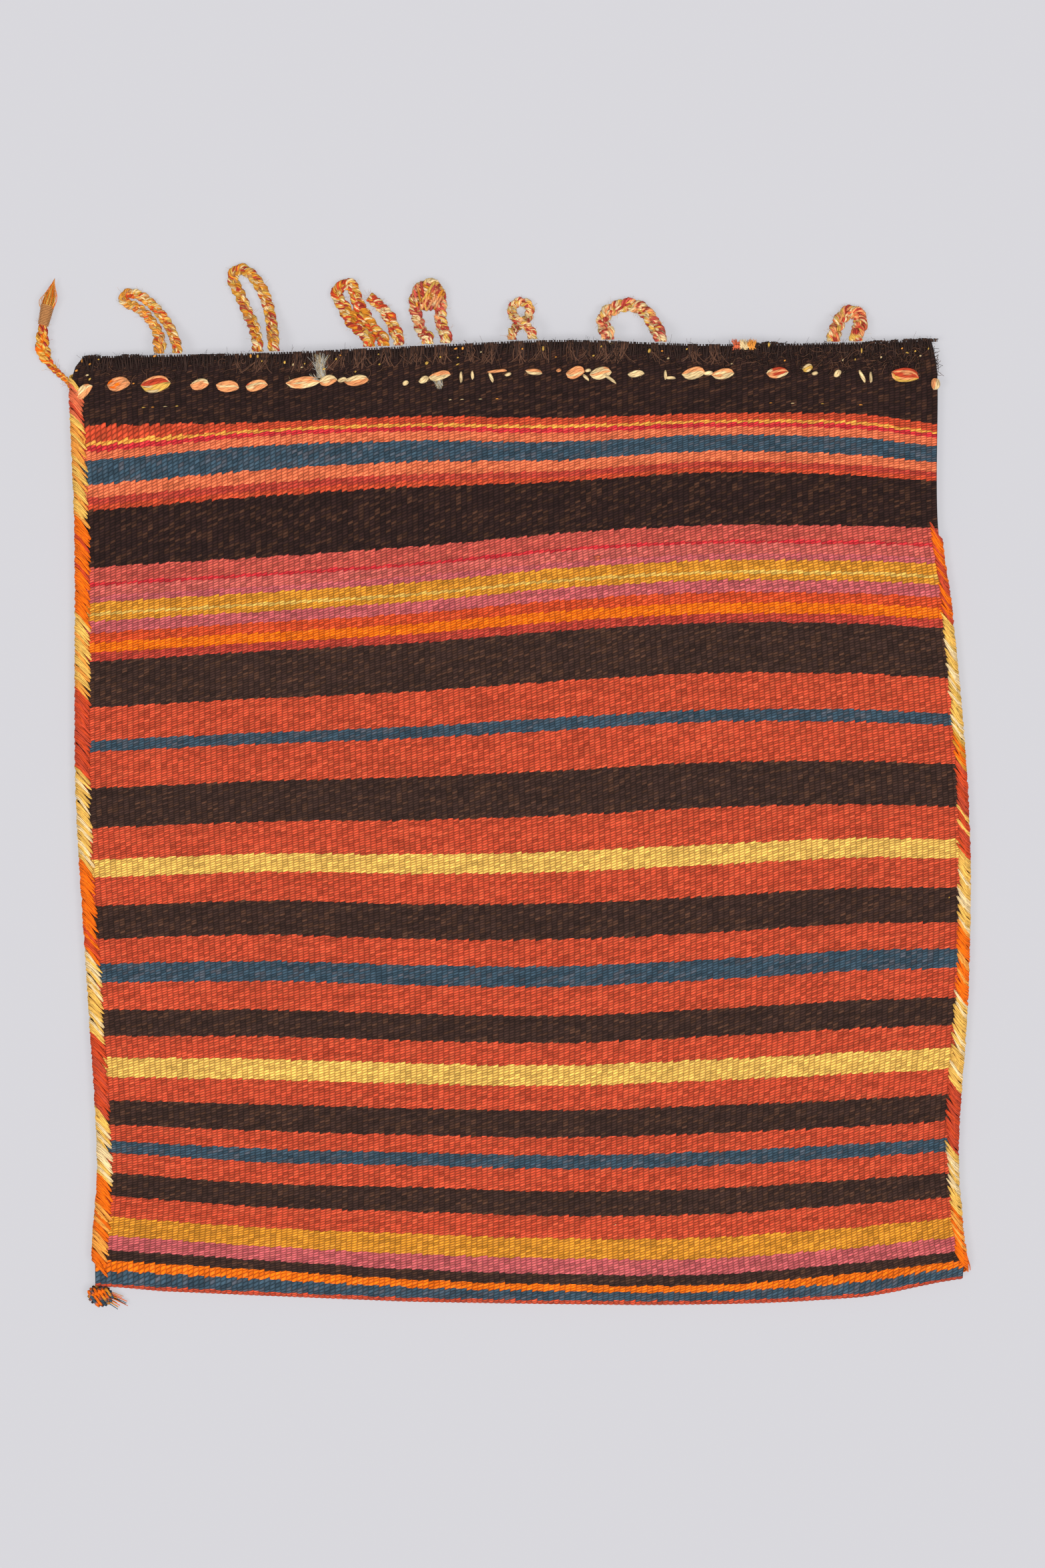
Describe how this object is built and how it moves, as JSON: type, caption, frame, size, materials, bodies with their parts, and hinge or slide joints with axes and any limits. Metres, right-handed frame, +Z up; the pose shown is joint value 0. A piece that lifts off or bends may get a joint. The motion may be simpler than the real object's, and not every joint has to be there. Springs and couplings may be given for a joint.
{
  "type": "woven storage bag",
  "caption": "Flat hand-woven wool storage bag with coloured weft bands, a folded bottom, yarn-sewn sides, an overcast mouth and braided closing loops.",
  "frame": {"origin": "on the surface that the bag lies on, under the middle of the bag's outline, without its braids", "axes": "+X across the bag, +Y from the fold to the mouth, +Z up out of the front"},
  "size_m": [0.5623, 0.626, 0.019],
  "materials": {
    "striped_cloth": "coarse weft-faced wool in coloured bands, matt, with fine ribs",
    "goat_hair": "rough blackish-brown hair yarn, matt",
    "yellow_wool": "two-ply wool, matt, slightly fuzzy",
    "orange_wool": "two-ply wool, matt, slightly fuzzy",
    "red_wool": "two-ply wool, matt, slightly fuzzy",
    "cream_wool": "two-ply wool, matt, slightly fuzzy",
    "lacing_wool": "mixed pink, cream and orange wool, loosely laid",
    "gold_braid": "braided gold, orange and maroon wool, worn and fuzzy",
    "pink_braid": "braided crimson, pink and cream wool, worn and fuzzy",
    "brown_thread": "fine wound brown thread"
  },
  "bodies": {
    "root": {"back_mouth_overcast": "goat_hair", "bag_cloth": "striped_cloth", "corner_tail": "gold_braid", "front_mouth_overcast": "goat_hair", "lacing_yarn": "lacing_wool", "left_corner_tassel": "gold_braid", "left_seam_coral_plait": "orange_wool", "left_seam_cream": "cream_wool", "left_seam_orange_1": "orange_wool", "left_seam_orange_2": "orange_wool", "left_seam_orange_3": "orange_wool", "left_seam_red_1": "red_wool", "left_seam_red_2": "red_wool", "left_seam_yellow_1": "yellow_wool", "left_seam_yellow_2": "yellow_wool", "left_seam_yellow_3": "yellow_wool", "left_seam_yellow_4": "yellow_wool", "left_seam_yellow_5": "yellow_wool", "mouth_loop_1": "gold_braid", "mouth_loop_2": "gold_braid", "mouth_loop_3": "gold_braid", "mouth_loop_3_leg": "pink_braid", "mouth_loop_4": "pink_braid", "mouth_loop_5": "pink_braid", "mouth_loop_6": "pink_braid", "mouth_loop_8": "pink_braid", "right_corner_tuft": "orange_wool", "right_seam_amber": "yellow_wool", "right_seam_orange_1": "orange_wool", "right_seam_orange_2": "orange_wool", "right_seam_orange_3": "orange_wool", "right_seam_red_1": "red_wool", "right_seam_red_2": "red_wool", "right_seam_red_3": "red_wool", "right_seam_yellow_1": "yellow_wool", "right_seam_yellow_2": "yellow_wool", "right_seam_yellow_3": "yellow_wool", "right_seam_yellow_4": "yellow_wool", "tail_brush": "gold_braid", "tail_whipping": "brown_thread", "worn_loop_stub": "pink_braid"}
  },
  "joints": []
}
